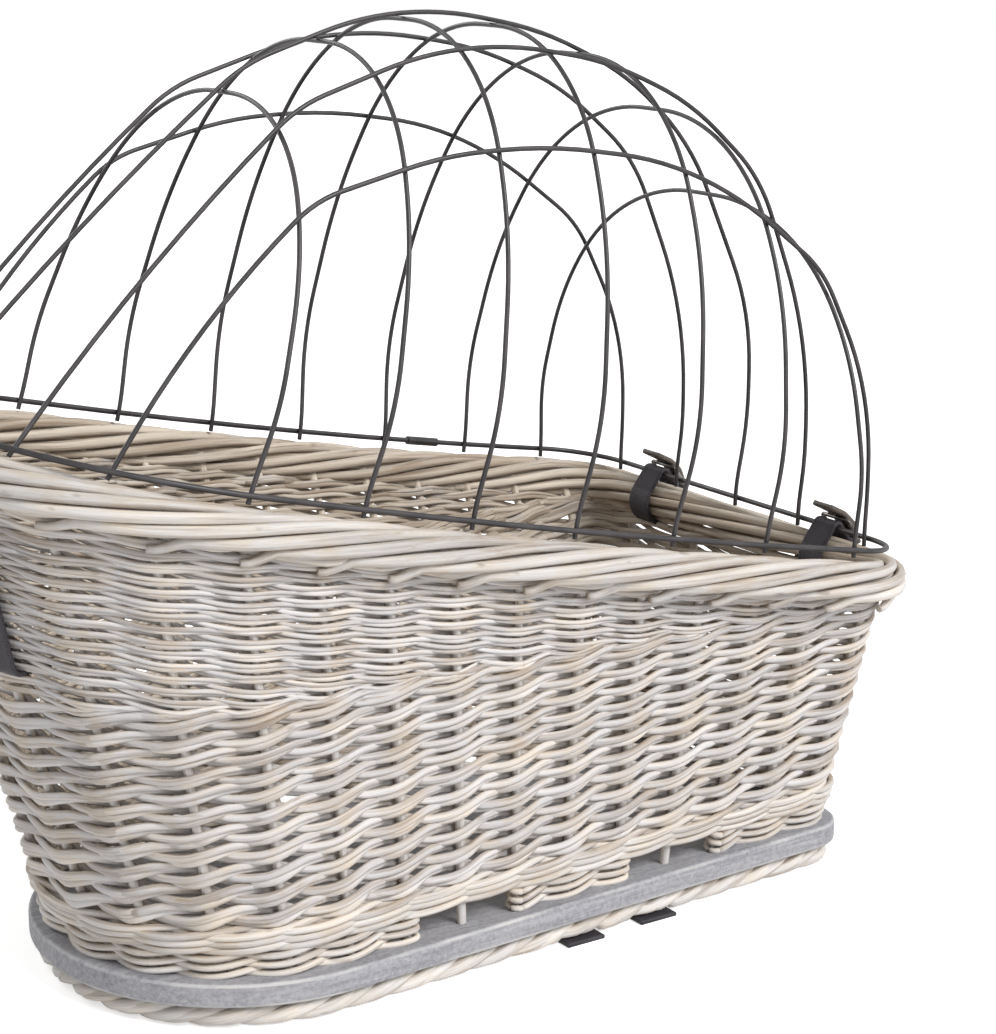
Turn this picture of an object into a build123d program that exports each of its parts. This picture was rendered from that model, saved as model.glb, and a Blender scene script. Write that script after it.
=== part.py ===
from build123d import *
import math
import os

# Bicycle basket for a dog: willow body on a wooden base, with a hinged wire guard.
# Millimetres. +X points to the low end, +Y across, +Z up, and the floor is at Z = 0.

# Base plate, outlined as a rounded trapezoid
plate_tall_end = 195
plate_low_end = 268
plate_half_tall = 120
plate_half_low = 98
plate_tall_radius = 110
plate_low_radius = 25
plate_thickness = 13
plate_edge_round = 2

# Foot border below the plate
foot_height = 14
foot_inset = 7
foot_width = 18
foot_round = 5

# Woven wall, its lower band of blocks and the twined wale above them
ledge = 8
wall_thickness = 12
block_height = 16
wale_height = 11
wale_proud = 2
wall_foot_inset = 4
wall_top_proud = 2
weave_thickness = 7
rib_r = 5.8

# Ribs fan out at the wall's top: extra gap at each end, and its reach in stakes
tall_fan_share = 0.66
tall_fan_reach = 2.4
low_fan_share = 1.08
low_fan_reach = 1.74

# Stakes and the openings between the blocks
stake_d = 5
stake_fit = 0.1
stake_pitch = 35.1
middle_block_x = 65
middle_block_length = 77
slot_length = 59

# Rolled rim
rim_r = 12
rim_gap = 4.25

# Guard ring: a wire loop that follows the rim
ring_length = 517
ring_half_tall = 125.5
ring_half_low = 152
ring_tall_radius = 128
ring_low_radius = 35
ring_wire_r = 1.5
ring_tall_z = 314
ring_mid_z = 251.5
ring_low_z = 201.5
ring_joint_x = 127
ring_joint_gap = 1
sleeve_length = 22
sleeve_wall = 1
sleeve_fit = 0.05

# Guard arches
arch_wire_r = 1.25
first_arch_inset = 41
last_arch_inset = 116
weld_gap = 0.1
foot_clearance = 1.2
foot_straight = 6
arch_heights = [177, 218, 239.5, 245, 238, 217.5, 183]
arch_leans = [3, 8, 9, 9.5, 11, 14.5, 19]
arch_half_width_shares = [1.00, 1.02, 1.05, 1.05, 1.045, 1.045, 1.02]
arch_power = 2.35
arch_seat_angles = [20, 42, 66, 90, 114, 138, 160]

# Runners: arches along the basket, laid over the cross arches
runner_side_inset = 38.6
runner_bulges = [8, 4, 1]
runner_bulge_heights = [77, 55, 40]
runner_tall_angles = [0, 32, 54]
runner_foot_share = 0.45
runner_rise_share = 0.6
runner_gap = 0.4

# Webbing of the hinge straps and closure straps
strap_width = 18
strap_thickness = 2.5
strap_clearance = 0.3
hinge_strap_y = 80
notch_clearance = 1
strap_bend_r = 6

# Buckles
buckle_bar_r = 1.2
buckle_length = 14
buckle_side_gap = 1
pin_fit = 0.05
fold_wall = 1
prong_width = 3
prong_r = 0.75
prong_overhang = 2
prong_slot_gap = 0.5

# Closure straps on the tall end
closure_y = 45
closure_anchor_drop = 123
closure_wall_gap = 3.2
closure_buckle_drop = 62
closure_slot_clearance = 0.5
closure_inside_length = 4
tab_drop = 34
tab_stand_off = 3.1
tab_ring_clearance = 0.9

# Rack straps below the foot border
rack_strap_width = 25
rack_strap_thickness = 2.5
rack_strap_xs = [70.5, 122]
rack_strap_reach = 6
rack_strap_clearance = 0.3

# Names of the sides of the basket: -Y is near and +Y is far
sides = {"near": -1, "far": 1}
overrun = 40

plate_bottom_z = foot_height
plate_top_z = plate_bottom_z + plate_thickness
block_top_z = plate_top_z + block_height
wale_top_z = block_top_z + wale_height
rim_drop = ring_wire_r + rim_gap + rim_r
half_length = ring_length / 2
hinge_x = half_length
arch_spacing = (ring_length - first_arch_inset - last_arch_inset) / (len(arch_heights) - 1)
runner_spacing = (ring_half_low - runner_side_inset) / 2


def fitting_bend(radius, length, half_tall, half_low):
    """Radius of the wide bends, no larger than the tall end has room for."""
    half_turn = math.tan(math.atan2(length, half_low - half_tall) / 2)
    rooms = [(half_tall + grow) / half_turn - grow for grow in (wall_top_proud, -wall_thickness)]
    return min(radius, *rooms)


ring_bend_r = fitting_bend(ring_tall_radius, ring_length, ring_half_tall, ring_half_low)
plate_bend_r = fitting_bend(plate_tall_radius, plate_tall_end + plate_low_end,
                            plate_half_tall, plate_half_low)
plate_outline = (plate_tall_end, plate_low_end, plate_half_tall, plate_half_low,
                 plate_bend_r, plate_low_radius)
ring_outline = (half_length, half_length, ring_half_tall, ring_half_low,
                ring_bend_r, ring_low_radius)


def plan_face(outline, offset, plane=Plane.XY, stretch=1):
    """Rounded trapezoid, grown outwards by offset, stretched along X."""
    tall, low, half_tall, half_low, tall_r, low_r = outline
    corners = [
        ((low + offset) * stretch, half_low + offset),
        ((low + offset) * stretch, -half_low - offset),
        (-(tall + offset) * stretch, -half_tall - offset),
        (-(tall + offset) * stretch, half_tall + offset),
    ]
    radii = [low_r + offset, low_r + offset, tall_r + offset, tall_r + offset]
    return make_face(plane * FilletPolyline(*corners, radius=radii, close=True))


def plan_ring(outline, outer, inner, bottom, top):
    """Upright closed band between two offsets of an outline."""
    depth = top - bottom
    whole = extrude(plan_face(outline, outer), depth, dir=(0, 0, 1))
    hollow = extrude(plan_face(outline, inner), depth, dir=(0, 0, 1))
    return Pos(0, 0, bottom) * (whole - hollow)


def half_width(outline, x):
    """Half width of the outline's straight side at x."""
    tall, low, half_tall, half_low = outline[:4]
    return half_low + (half_tall - half_low) * (low - x) / (low + tall)


def ring_z(x):
    """Height of the ring wire: a parabola through its two ends and its middle."""
    share = x / half_length
    bow = (ring_low_z + ring_tall_z) / 2 - ring_mid_z
    return ring_mid_z + (ring_low_z - ring_tall_z) / 2 * share + bow * share**2


def ring_slope(x):
    bow = (ring_low_z + ring_tall_z) / 2 - ring_mid_z
    return ((ring_low_z - ring_tall_z) / 2 + 2 * bow * x / half_length) / half_length


# Base


def near_line(outline, grow):
    """Near half of an outline grown by an amount, from its tall end to its low end."""
    tall, low, half_tall, half_low, tall_r, low_r = [size + grow for size in outline]
    return FilletPolyline((-tall, 0), (-tall, -half_tall), (low, -half_low), (low, 0),
                          radius=[tall_r, low_r])


def stake_shares():
    """Shares of the near half's length at which the stakes stand, evenly spaced."""
    middle = ledge + wall_thickness / 2
    line = near_line(plate_outline, -middle)
    first_x = middle_block_x - 2 * stake_pitch
    inner = [size - middle for size in plate_outline[:4]]
    first = Vector(first_x, -half_width(inner, first_x), 0)
    start = line.param_at_point(first) * line.length % stake_pitch
    count = int((line.length - start) / stake_pitch) + 1
    return line, [(start + index * stake_pitch) / line.length for index in range(count)]


def both_sides(points):
    return [Vector(point.X, side * point.Y, 0) for point in points for side in (1, -1)]


def stake_places():
    line, shares = stake_shares()
    return both_sides([line @ share for share in shares])


def fanned(share, count):
    """Share of the wall's top above a share of its foot, wider spaced at both ends."""
    stakes = share * count
    bell = math.sqrt(math.pi) / 2
    tall = tall_fan_share * tall_fan_reach * bell
    low = low_fan_share * low_fan_reach * bell
    whole = count + tall + low
    gained = tall * math.erf(stakes / tall_fan_reach)
    gained += low * (1 - math.erf((count - stakes) / low_fan_reach))
    return (stakes + gained) / whole


def rib_ends():
    """Foot and top of each rib on the wall's middle surface."""
    _, shares = stake_shares()
    foot = near_line(plate_outline, -wall_foot_inset - wall_thickness / 2)
    top = near_line(ring_outline, wall_top_proud - wall_thickness / 2)
    feet = both_sides([foot @ share for share in shares])
    tops = both_sides([top @ fanned(share, len(shares)) for share in shares])
    return zip(feet, tops)


def make_stakes(places):
    height = wale_top_z - plate_bottom_z
    rod = Pos(0, 0, plate_bottom_z) * extrude(Circle(stake_d / 2), height)
    return Compound([Pos(place) * rod for place in places])


def stake_holes(places):
    height = wale_top_z + overrun
    hole = extrude(Circle(stake_d / 2 + stake_fit), height)
    return [Pos(place) * hole for place in places]


def make_base_plate(holes):
    plate = extrude(plan_face(plate_outline, 0), plate_thickness)
    plate = fillet(plate.edges().filter_by(Plane.XY), plate_edge_round)
    return Pos(0, 0, plate_bottom_z) * plate - holes


def rack_strap_half_length(x):
    return half_width(plate_outline, x) - foot_inset + rack_strap_reach


def make_foot_border():
    border = plan_ring(plate_outline, -foot_inset, -foot_inset - foot_width, 0, foot_height)
    border = fillet(border.edges().filter_by(Plane.XY).group_by(Axis.Z)[0], foot_round)
    groove = Box(rack_strap_width + 2 * rack_strap_clearance, 4 * plate_half_tall,
                 2 * (rack_strap_thickness + rack_strap_clearance))
    for x in rack_strap_xs:
        border -= Pos(x, 0, 0) * groove
    return border


def make_rack_strap(x):
    strap = Box(rack_strap_width, 2 * rack_strap_half_length(x), rack_strap_thickness)
    return Pos(x, 0, rack_strap_thickness / 2) * strap


# Woven body


def slot_boxes():
    """Openings through the lower band, two on each side of the middle blocks."""
    reach = (middle_block_length + slot_length) / 2
    opening = Box(slot_length, 4 * plate_half_tall, 2 * block_height)
    return [Pos(middle_block_x + step * reach, 0, plate_top_z) * opening for step in (-1, 1)]


def make_blocks(holes):
    """Lower weave, left as four blocks where the slots interrupt it."""
    band = plan_ring(plate_outline, -ledge, -ledge - wall_thickness, plate_top_z, block_top_z)
    pieces = (band - slot_boxes() - holes).solids()
    named = {}
    for piece in pieces:
        centre = piece.center()
        if abs(centre.Y) > plate_half_low / 2:
            name = "base_weave_near" if centre.Y < 0 else "base_weave_far"
        else:
            name = "base_weave_tall_end" if centre.X < 0 else "base_weave_low_end"
        named[name] = piece
    return named


def make_wale(holes):
    outer = wale_proud - wall_foot_inset
    inner = -ledge - wall_thickness
    return plan_ring(plate_outline, outer, inner, block_top_z, wale_top_z) - holes


def wall_shell(outer_top, inner_top, outer_foot, inner_foot):
    """Flaring shell from the top of the wale up to the sloping plane of the rim."""
    rise = ring_tall_z - ring_low_z
    slope = math.atan2(rise, ring_length)
    middle_z = (ring_tall_z + ring_low_z) / 2
    top_plane = Plane(origin=(0, 0, middle_z), x_dir=(math.cos(slope), 0, -math.sin(slope)),
                      z_dir=(math.sin(slope), 0, math.cos(slope)))
    foot_plane = Plane.XY.offset(wale_top_z)
    stretch = 1 / math.cos(slope)
    outer = loft([plan_face(plate_outline, outer_foot, foot_plane),
                  plan_face(ring_outline, outer_top, top_plane, stretch)], ruled=True)
    inner = loft([plan_face(plate_outline, inner_foot, foot_plane),
                  plan_face(ring_outline, inner_top, top_plane, stretch)], ruled=True)
    return outer - inner


def below_ring(drop):
    """Everything lower than the ring's curve less a drop."""
    reach = half_length + overrun
    top = ThreePointArc((-reach, ring_z(-reach) - drop), (0, ring_z(0) - drop),
                        (reach, ring_z(reach) - drop))
    rest = Polyline((reach, ring_z(reach) - drop), (reach, 0), (-reach, 0),
                    (-reach, ring_z(-reach) - drop))
    profile = make_face(Plane.XZ * Wire([top, *rest.edges()]))
    return extrude(profile, 2 * ring_half_low, both=True)


def hinge_notches():
    """Gaps under the rim at the low end, where the hinge straps pass."""
    depth = rim_drop + rim_r + strap_clearance + strap_thickness + notch_clearance
    notch = Box(2 * overrun, strap_width + 2 * notch_clearance, 2 * depth)
    return [Pos(hinge_x, y * hinge_strap_y, ring_low_z) * notch for y in sides.values()]


def make_ribs():
    """Bulges of the weave over the stakes, which lean out from the wale to the rim."""
    ribs = []
    for foot, top in rib_ends():
        start = foot + Vector(0, 0, wale_top_z)
        way = top + Vector(0, 0, ring_z(top.X) - rim_drop) - start
        rod = extrude(Circle(rib_r), 2 * rib_r + way.length)
        ribs.append(Plane(origin=start - way.normalized() * 2 * rib_r, z_dir=way) * rod)
    return ribs


def make_wall(rim, slits):
    spare = (wall_thickness - weave_thickness) / 2
    shell = wall_shell(wall_top_proud - spare, wall_top_proud - wall_thickness + spare,
                       -wall_foot_inset - spare, -wall_foot_inset - wall_thickness + spare)
    above_wale = Pos(0, 0, wale_top_z) * extrude(plan_face(ring_outline, overrun), ring_tall_z)
    room = above_wale & below_ring(rim_drop)
    pieces = [(piece & room) - rim - hinge_notches() - slits for piece in [shell, *make_ribs()]]
    return pieces[0] + pieces[1:]


# Wire paths


def meet(point, direction, other, other_direction):
    """Where two lines in a plane cross."""
    cross = direction[0] * other_direction[1] - direction[1] * other_direction[0]
    away = (other[0] - point[0], other[1] - point[1])
    reach = (away[0] * other_direction[1] - away[1] * other_direction[0]) / cross
    return (point[0] + reach * direction[0], point[1] + reach * direction[1])


def bend_radii(seats, corners, points, fill_share=0.999):
    """Radius at each corner, so that its bend starts near the seat before it."""
    radii = []
    for index, corner in enumerate(corners):
        before = points[index] - corner
        after = points[index + 2] - corner
        half_turn = math.radians(180 - before.get_angle(after)) / 2
        room = min((seats[index] - corner).length, (seats[index + 1] - corner).length)
        radii.append(fill_share * room / math.tan(half_turn))
    return radii


def bent_path(seats, corners):
    """Straight runs through the corners, rounded from seat to seat."""
    points = [seats[0], *corners, seats[-1]]
    return FilletPolyline(*points, radius=bend_radii(seats, corners, points))


def closed_path(seats, corners):
    """The same, run on from the last corner to the first."""
    points = [corners[-1], *corners, corners[0]]
    return FilletPolyline(*corners, radius=bend_radii(seats, corners, points), close=True)


def wire_along(path, radius):
    start = path @ 0
    section = Plane(origin=start, z_dir=path % 0) * Circle(radius)
    return sweep(section, path=path)


def lifted(seat, other_seat, plan_corner):
    """Corner of the ring's path, at the height where its two tangents come closest."""
    x, y = plan_corner
    heights = [ring_z(s.X) + ring_slope(s.X) * (x - s.X) for s in (seat, other_seat)]
    return Vector(x, y, sum(heights) / 2)


def on_ring(x, y):
    return Vector(x, y, ring_z(x))


def tall_bend(side):
    """Seats and corners of the ring's wide bend at the tall end, on one side."""
    turn = math.atan2(ring_length, ring_half_low - ring_half_tall)
    centre_x = ring_bend_r - half_length
    reach = ring_bend_r * math.tan(turn / 2)
    centre_y = ring_half_tall - reach
    steps = 3
    seats = []
    corners = []
    for index in range(steps + 1):
        angle = turn * index / steps
        x = centre_x - ring_bend_r * math.cos(angle)
        y = centre_y + ring_bend_r * math.sin(angle)
        seats.append(on_ring(x, side * y))
    for index in range(steps):
        angle = turn * (index + 0.5) / steps
        reach = ring_bend_r / math.cos(turn / steps / 2)
        x = centre_x - reach * math.cos(angle)
        y = centre_y + reach * math.sin(angle)
        corners.append(lifted(seats[index], seats[index + 1], (x, side * y)))
    return seats, corners


def side_seats(side):
    """Seats on the ring's long side, from its low bend to its wide bend."""
    turn = math.atan2(ring_length, ring_half_low - ring_half_tall)
    low_reach = ring_low_radius / math.tan(turn / 2)
    low_x = half_length - low_reach
    return [on_ring(x, side * half_width(ring_outline, x)) for x in (low_x, ring_joint_x)]


def side_corner(seat, other_seat, side):
    x = (seat.X + other_seat.X) / 2
    return lifted(seat, other_seat, (x, side * half_width(ring_outline, x)))


def ring_path():
    """The ring's wire, from its joint on the far side round both ends and back."""
    near_seats, near_corners = tall_bend(-1)
    far_seats, far_corners = tall_bend(1)
    far_side = side_seats(1)
    near_side = side_seats(-1)
    turn = math.atan2(ring_length, ring_half_low - ring_half_tall)
    end_y = ring_half_low - ring_low_radius / math.tan(turn / 2)
    far_end = on_ring(half_length, end_y)
    near_end = on_ring(half_length, -end_y)
    joint_step = Vector(ring_joint_gap / 2, 0, ring_slope(ring_joint_x) * ring_joint_gap / 2)
    corners = [
        side_corner(far_side[1], far_side[0], 1),
        lifted(far_side[0], far_end, (half_length, ring_half_low)),
        lifted(near_side[0], near_end, (half_length, -ring_half_low)),
        side_corner(near_side[0], near_side[1], -1),
        side_corner(near_side[1], near_seats[-1], -1),
    ]
    seats = [far_side[1] + joint_step, far_side[0], far_end, near_side[0], near_side[1],
             near_seats[-1]]
    corners += list(reversed(near_corners)) + far_corners
    seats += list(reversed(near_seats[:-1])) + far_seats[1:]
    corners.append(side_corner(far_side[1], far_seats[-1], 1))
    seats.append(far_side[1] - joint_step)
    return seats, corners


def make_sleeve():
    """Crimped sleeve over the ring wire's two ends."""
    centre = on_ring(ring_joint_x, half_width(ring_outline, ring_joint_x))
    slope_y = (ring_half_low - ring_half_tall) / ring_length
    along = Vector(1, slope_y, ring_slope(ring_joint_x))
    plane = Plane(origin=centre, z_dir=along)
    inner = ring_wire_r + sleeve_fit
    section = Circle(inner + sleeve_wall) - Circle(inner)
    return extrude(plane * section, sleeve_length / 2, both=True)


# Guard arches


class Arch:
    """Cross arch: half of a rounded oval, in a plane that leans towards the low end."""

    def __init__(self, index):
        self.x = half_length - first_arch_inset - index * arch_spacing
        self.z = ring_z(self.x)
        self.height = arch_heights[index]
        self.lean = math.radians(arch_leans[index])
        self.ring_half = ring_half_at(self.x)
        self.half = self.ring_half * arch_half_width_shares[index]

    def place(self, across, up):
        return Vector(self.x + up * math.sin(self.lean), across,
                      self.z + up * math.cos(self.lean))

    def oval(self, angle):
        """Point of the oval and its direction, in the arch's own plane."""
        c = math.cos(angle)
        s = math.sin(angle)
        power = 2 / arch_power
        point = (math.copysign(abs(c)**power, c) * self.half, s**power * self.height)
        along = (-self.half * abs(c)**(power - 1) * s, self.height * s**(power - 1) * c)
        return point, along

    def at_across(self, across):
        """Height in the arch's plane where it crosses a given distance from the middle."""
        return self.height * (1 - (abs(across) / self.half)**arch_power)**(1 / arch_power)


def ring_half_at(x):
    """Half width of the ring at x, with its wide bend."""
    centre_x = ring_bend_r - half_length
    turn = math.atan2(ring_length, ring_half_low - ring_half_tall)
    if x > centre_x - ring_bend_r * math.cos(turn):
        return half_width(ring_outline, x)
    centre_y = ring_half_tall - ring_bend_r * math.tan(turn / 2)
    return centre_y + math.sqrt(ring_bend_r**2 - (x - centre_x)**2)


def make_arch(arch):
    foot_across = arch.ring_half - ring_wire_r - arch_wire_r - weld_gap
    foot_up = -(ring_wire_r + rim_gap - foot_clearance)
    middle = []
    tangents = []
    for angle in arch_seat_angles:
        point, along = arch.oval(math.radians(angle))
        middle.append(point)
        tangents.append(along)
    corners = []
    for index in range(len(tangents) - 1):
        corners.append(meet(middle[index], tangents[index],
                            middle[index + 1], tangents[index + 1]))
    shoulder = meet(middle[0], tangents[0], (arch.half, 0), (0, 1))
    knee = (foot_across, foot_straight)
    between = ((knee[0] + shoulder[0]) / 2, (knee[1] + shoulder[1]) / 2)
    near_side = [(foot_across, foot_up), knee, between, shoulder]
    far_side = [(-across, up) for across, up in reversed(near_side)]
    seats = [near_side[0], near_side[2], *middle, far_side[1], far_side[3]]
    corners = [near_side[1], near_side[3], *corners, far_side[0], far_side[2]]
    seats = [arch.place(*seat) for seat in seats]
    corners = [arch.place(*corner) for corner in corners]
    return wire_along(bent_path(seats, corners), arch_wire_r)


class Runner:
    """Arch along the basket, in an upright plane from the low end to the tall end."""

    def __init__(self, index, side):
        inset = ring_wire_r + arch_wire_r + weld_gap
        bend_r = ring_bend_r - inset
        angle = math.radians(runner_tall_angles[index])
        centre_x = ring_bend_r - half_length
        tall_x = centre_x - bend_r * math.cos(angle)
        tall_y = side * (ring_half_at(centre_x) - ring_bend_r + bend_r * math.sin(angle))
        if index == 0:
            tall_y = 0
        self.low = Vector(half_length - inset, side * index * runner_spacing, 0)
        self.tall = Vector(tall_x, tall_y, 0)
        self.along = (self.tall - self.low).normalized()
        self.length = (self.tall - self.low).length
        self.bulge = runner_bulges[index]
        self.bulge_height = runner_bulge_heights[index]

    def place(self, run, z):
        return self.low + self.along * run + Vector(0, 0, z)

    def crossing(self, arch):
        """Where the runner's plane meets an arch's centre line, and the arch's direction."""
        up = arch.height
        for _ in range(6):
            x = arch.x + up * math.sin(arch.lean)
            run = (x - self.low.X) / self.along.X
            y = self.place(run, 0).Y
            up = arch.at_across(y)
        step = arch.half / 100
        ahead = arch.place(y + step, arch.at_across(y + step))
        behind = arch.place(y - step, arch.at_across(y - step))
        return run, arch.place(y, up).Z, (ahead - behind).normalized()


def runner_seats(runner, arches):
    """Seats in the runner's plane, a wire's thickness outside each arch."""
    feet_z = ring_z(runner.low.X), ring_z(runner.tall.X)
    raw = [runner.crossing(arch) for arch in arches]
    line = [(-runner.bulge, feet_z[0] + runner.bulge_height)]
    line += [(run, z) for run, z, _ in raw]
    line.append((runner.length, feet_z[1]))
    seats = []
    for index, (run, z, across) in enumerate(raw):
        ahead = line[index + 2]
        behind = line[index]
        slope = (ahead[0] - behind[0], ahead[1] - behind[1])
        size = math.hypot(*slope)
        along = runner.along * (slope[0] / size) + Vector(0, 0, slope[1] / size)
        out = runner.along * (-slope[1] / size) + Vector(0, 0, slope[0] / size)
        apart = across.cross(along).normalized()
        lift = (2 * arch_wire_r + runner_gap) / abs(apart.dot(out))
        seats.append((run - slope[1] / size * lift, z + slope[0] / size * lift))
    return seats


def make_runner(runner, arches):
    drop = ring_wire_r + rim_gap - foot_clearance
    low_z = ring_z(runner.low.X)
    foot = (0, low_z - drop)
    bulge = (-runner.bulge, low_z + runner.bulge_height)
    tall_foot = (runner.length, ring_z(runner.tall.X) - drop)
    middle = runner_seats(runner, arches)
    seats = [foot, bulge, *middle, tall_foot]
    tangents = [(0, 1)]
    for index in range(2, len(seats) - 1):
        ahead = seats[index + 1]
        behind = seats[index - 1]
        tangents.append((ahead[0] - behind[0], ahead[1] - behind[1]))
    knee = (0, low_z + foot_straight)
    rise = (bulge[0], low_z + runner_rise_share * runner.bulge_height)
    between = ((knee[0] + rise[0]) / 2, (knee[1] + rise[1]) / 2)
    corners = [knee, rise]
    for index in range(len(tangents) - 1):
        corners.append(meet(seats[index + 1], tangents[index],
                            seats[index + 2], tangents[index + 1]))
    seats.insert(1, between)
    last = seats[-2]
    size = math.hypot(*tangents[-1])
    reach = runner_foot_share * math.dist(last, tall_foot)
    corners.append((last[0] + tangents[-1][0] / size * reach,
                    last[1] + tangents[-1][1] / size * reach))
    seats = [runner.place(*seat) for seat in seats]
    corners = [runner.place(*corner) for corner in corners]
    return wire_along(bent_path(seats, corners), arch_wire_r)


# Straps and buckles, drawn in a plane where x runs out from the basket and y runs up


def strap_from(profile_line, closed=False):
    """Webbing of the strap's width along a line drawn in the XZ plane."""
    half = strap_thickness / 2
    if closed:
        outer = offset(profile_line, half)
        inner = offset(profile_line, -half)
        section = make_face(outer) - make_face(inner)
    else:
        section = trace(profile_line, strap_thickness)
    return extrude(Plane.XZ * section, strap_width / 2, both=True)


bar_height = buckle_bar_r + pin_fit + fold_wall
frame_half_width = strap_width / 2 + buckle_side_gap + buckle_bar_r


def make_buckle_frame():
    """Rounded rectangle of round bar, with its pivot bar on the local Y axis."""
    corners = [(0, frame_half_width), (buckle_length, frame_half_width),
               (buckle_length, -frame_half_width), (0, -frame_half_width)]
    path = FilletPolyline(*corners, radius=2 * buckle_bar_r, close=True)
    start = path @ 0
    section = Plane(origin=start, z_dir=path % 0) * Circle(buckle_bar_r)
    return Pos(0, 0, bar_height) * sweep(section, path=path)


def make_prong():
    """Pin with an eye round the pivot bar, lying on the buckle's far bar."""
    eye_inner = buckle_bar_r + pin_fit
    eye_outer = eye_inner + fold_wall - pin_fit
    eye = extrude(Plane.XZ * (Circle(eye_outer) - Circle(eye_inner)), prong_width / 2, both=True)
    lift = buckle_bar_r + prong_r + pin_fit
    start = Vector(eye_inner, 0, (eye_outer + eye_inner) / 2 - prong_r / 2)
    end = Vector(buckle_length + prong_overhang, 0, lift)
    line = Line(start, end)
    pin = sweep(Plane(origin=start, z_dir=line % 0) * Circle(prong_r), path=line)
    solid = eye + pin
    bore = extrude(Plane.XZ * Circle(eye_inner), prong_width, both=True)
    return Pos(0, 0, bar_height) * (solid - bore)


def make_folds():
    """The strap's end, folded round the pivot bar on both sides of the prong."""
    inner = buckle_bar_r + pin_fit
    outer = inner + fold_wall
    half_gap = prong_width / 2 + prong_slot_gap
    length = strap_width / 2 - half_gap
    tube = Circle(outer) - Circle(inner)
    base = Pos(0, -(bar_height + strap_thickness / 2) / 2) * Rectangle(
        outer, bar_height + strap_thickness / 2)
    fold = extrude(Plane.XZ * (tube + base - Circle(inner)), length)
    near = Pos(0, -half_gap, bar_height) * fold
    return near + mirror(near, about=Plane.XZ)


def hinge_strap_line():
    """Loop round the rim and the ring wire at the low end, as a closed line."""
    grow = strap_clearance + strap_thickness / 2
    small = ring_wire_r + grow
    large = rim_r + grow
    angle = math.asin((large - small) / rim_drop)
    right_small = (small * math.cos(angle), small * math.sin(angle))
    right_large = (large * math.cos(angle), large * math.sin(angle) - rim_drop)
    left_small = (-right_small[0], right_small[1])
    left_large = (-right_large[0], right_large[1])
    right = Line(right_small, right_large)
    left = Line(left_large, left_small)
    under = ThreePointArc(right_large, (0, -rim_drop - large), left_large)
    over = ThreePointArc(left_small, (0, small), right_small)
    slope = math.degrees(math.atan2(right_small[1] - right_large[1],
                                    right_small[0] - right_large[0]))
    return Wire([right, under, left, over]), right_large, slope, angle


def hinge_buckle_location():
    """The buckle lies on the loop's outer slope, its prong pointing up to the ring."""
    _, foot, slope, angle = hinge_strap_line()
    half = strap_thickness / 2
    out_x = foot[0] + half * math.cos(angle)
    out_z = foot[1] + half * math.sin(angle)
    outwards = Rot(180, 0, 0)
    return Pos(out_x, 0, out_z) * Rot(0, -slope, 0) * outwards * Pos(buckle_bar_r, 0, 0)


def make_hinge_strap():
    line = hinge_strap_line()[0]
    return strap_from(line, closed=True) + hinge_buckle_location() * make_folds()


def ring_top_place(side):
    """Point of the ring above a closure strap, and the way outwards from it."""
    centre_x = ring_bend_r - half_length
    centre_y = ring_half_at(centre_x) - ring_bend_r
    angle = math.asin((closure_y - centre_y) / ring_bend_r)
    x = centre_x - ring_bend_r * math.cos(angle)
    return Pos(x, side * closure_y, ring_z(x)) * Rot(0, 0, 180 - side * math.degrees(angle))


def closure_wall_line():
    """The wall's outer face below the ring, as a point, a direction and a height span."""
    place = ring_top_place(1).position
    share = (place.Z - closure_anchor_drop - wale_top_z) / (place.Z - wale_top_z)
    lean = half_length - plate_tall_end + wall_foot_inset
    anchor_x = -lean * (1 - share) + wall_top_proud
    return anchor_x, -closure_anchor_drop


def closure_strap_line():
    """From inside the wall out through the weave and up its outer face."""
    anchor_x, anchor_z = closure_wall_line()
    slope = anchor_x / anchor_z
    gap = closure_wall_gap + strap_thickness / 2
    corner = (anchor_x + gap + strap_thickness, anchor_z)
    top_z = -closure_buckle_drop
    top = (corner[0] + slope * (top_z - anchor_z), top_z)
    inside = (anchor_x - wall_thickness - closure_inside_length, anchor_z)
    return inside, corner, top


def make_closure_strap():
    inside, corner, top = closure_strap_line()
    line = FilletPolyline(inside, corner, top, radius=strap_bend_r)
    return strap_from(line) + closure_buckle_location() * make_folds()


def closure_buckle_location():
    inside, corner, top = closure_strap_line()
    angle = math.degrees(math.atan2(top[1] - corner[1], top[0] - corner[0]))
    turn = math.radians(angle)
    half = strap_thickness / 2
    x = top[0] + half * math.sin(turn)
    z = top[1] - half * math.cos(turn)
    step = -(buckle_bar_r + pin_fit + fold_wall)
    flip = Rot(180, 0, 0)
    return Pos(x, 0, z) * Rot(0, -angle, 0) * flip * Pos(step, 0, 0)


def make_tab():
    """Short strap on the ring wire, hanging outside the rim above the closure strap."""
    small = ring_wire_r + tab_ring_clearance + strap_thickness / 2
    out = rim_r + tab_stand_off + strap_thickness / 2
    line = FilletPolyline((-small, -small), (-small, small), (2 * small, small),
                          (out, -rim_drop / 2), (out + tab_stand_off, -tab_drop),
                          radius=[small, strap_bend_r, strap_bend_r])
    return strap_from(line)


def closure_slots():
    """Slits in the wall where the closure straps enter the weave."""
    anchor_x, anchor_z = closure_wall_line()
    slit = Box(2 * overrun, strap_width + 2 * closure_slot_clearance,
               strap_thickness + 2 * closure_slot_clearance)
    return [ring_top_place(side) * Pos(anchor_x, 0, anchor_z) * slit
            for side in sides.values()]


# Assembly


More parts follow.
